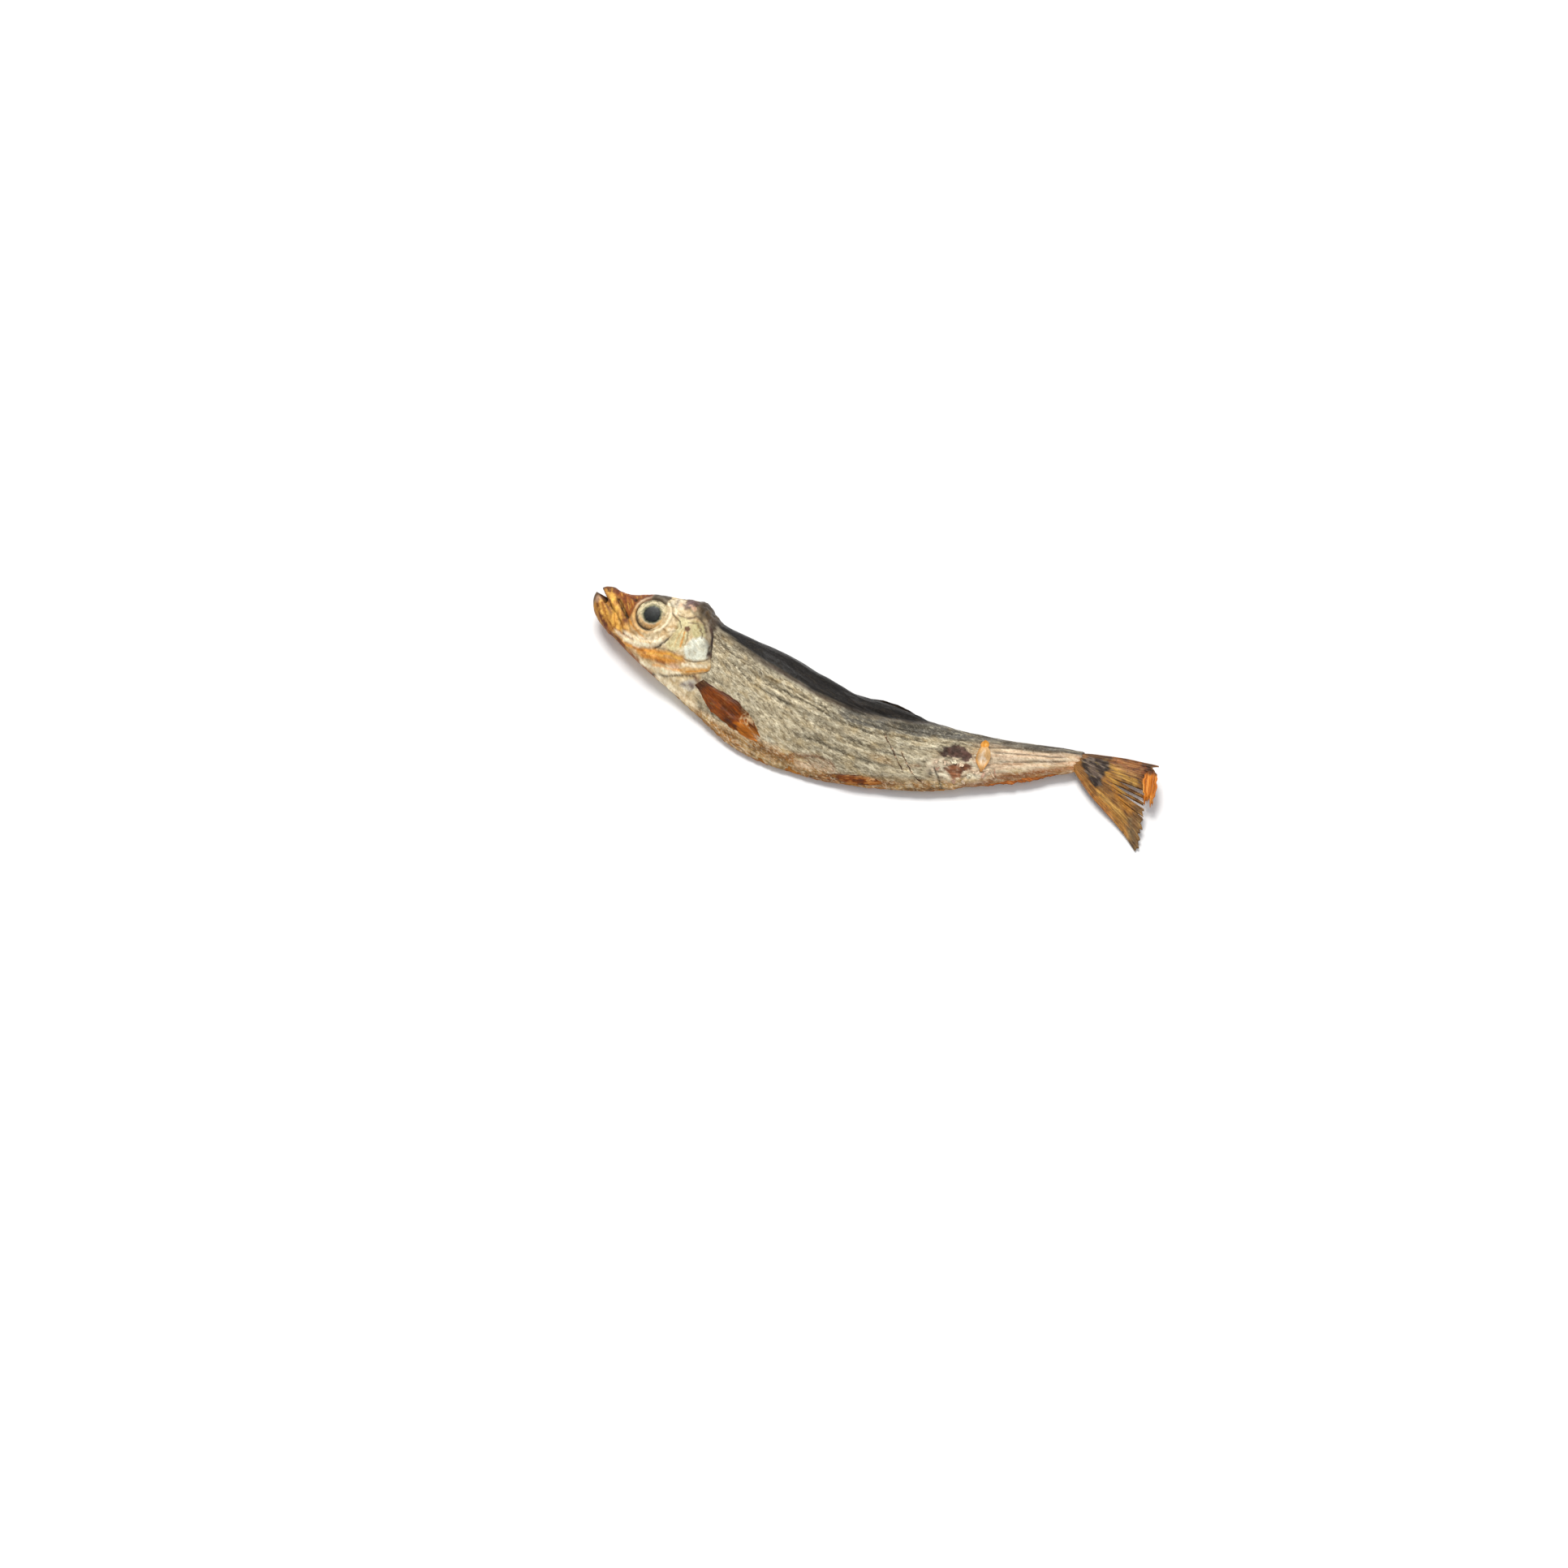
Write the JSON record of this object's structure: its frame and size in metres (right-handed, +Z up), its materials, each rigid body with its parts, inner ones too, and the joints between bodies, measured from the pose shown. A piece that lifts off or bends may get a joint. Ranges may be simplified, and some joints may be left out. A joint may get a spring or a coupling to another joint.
{
  "type": "smoked fish",
  "caption": "Small smoked and dried fish, whole, lying on its flank, with a bent body, a deep belly, a blunt head and a forked tail.",
  "frame": {"origin": "bottom centre of the part's box, on the floor it lies on", "axes": "+X from the head to the tail, +Y to the side of the fish's back, +Z up out of its left flank"},
  "size_m": [0.1074, 0.0236, 0.0095],
  "materials": {
    "smoked_skin": "satin"
  },
  "bodies": {
    "root": {"fish": "smoked_skin"}
  },
  "joints": []
}
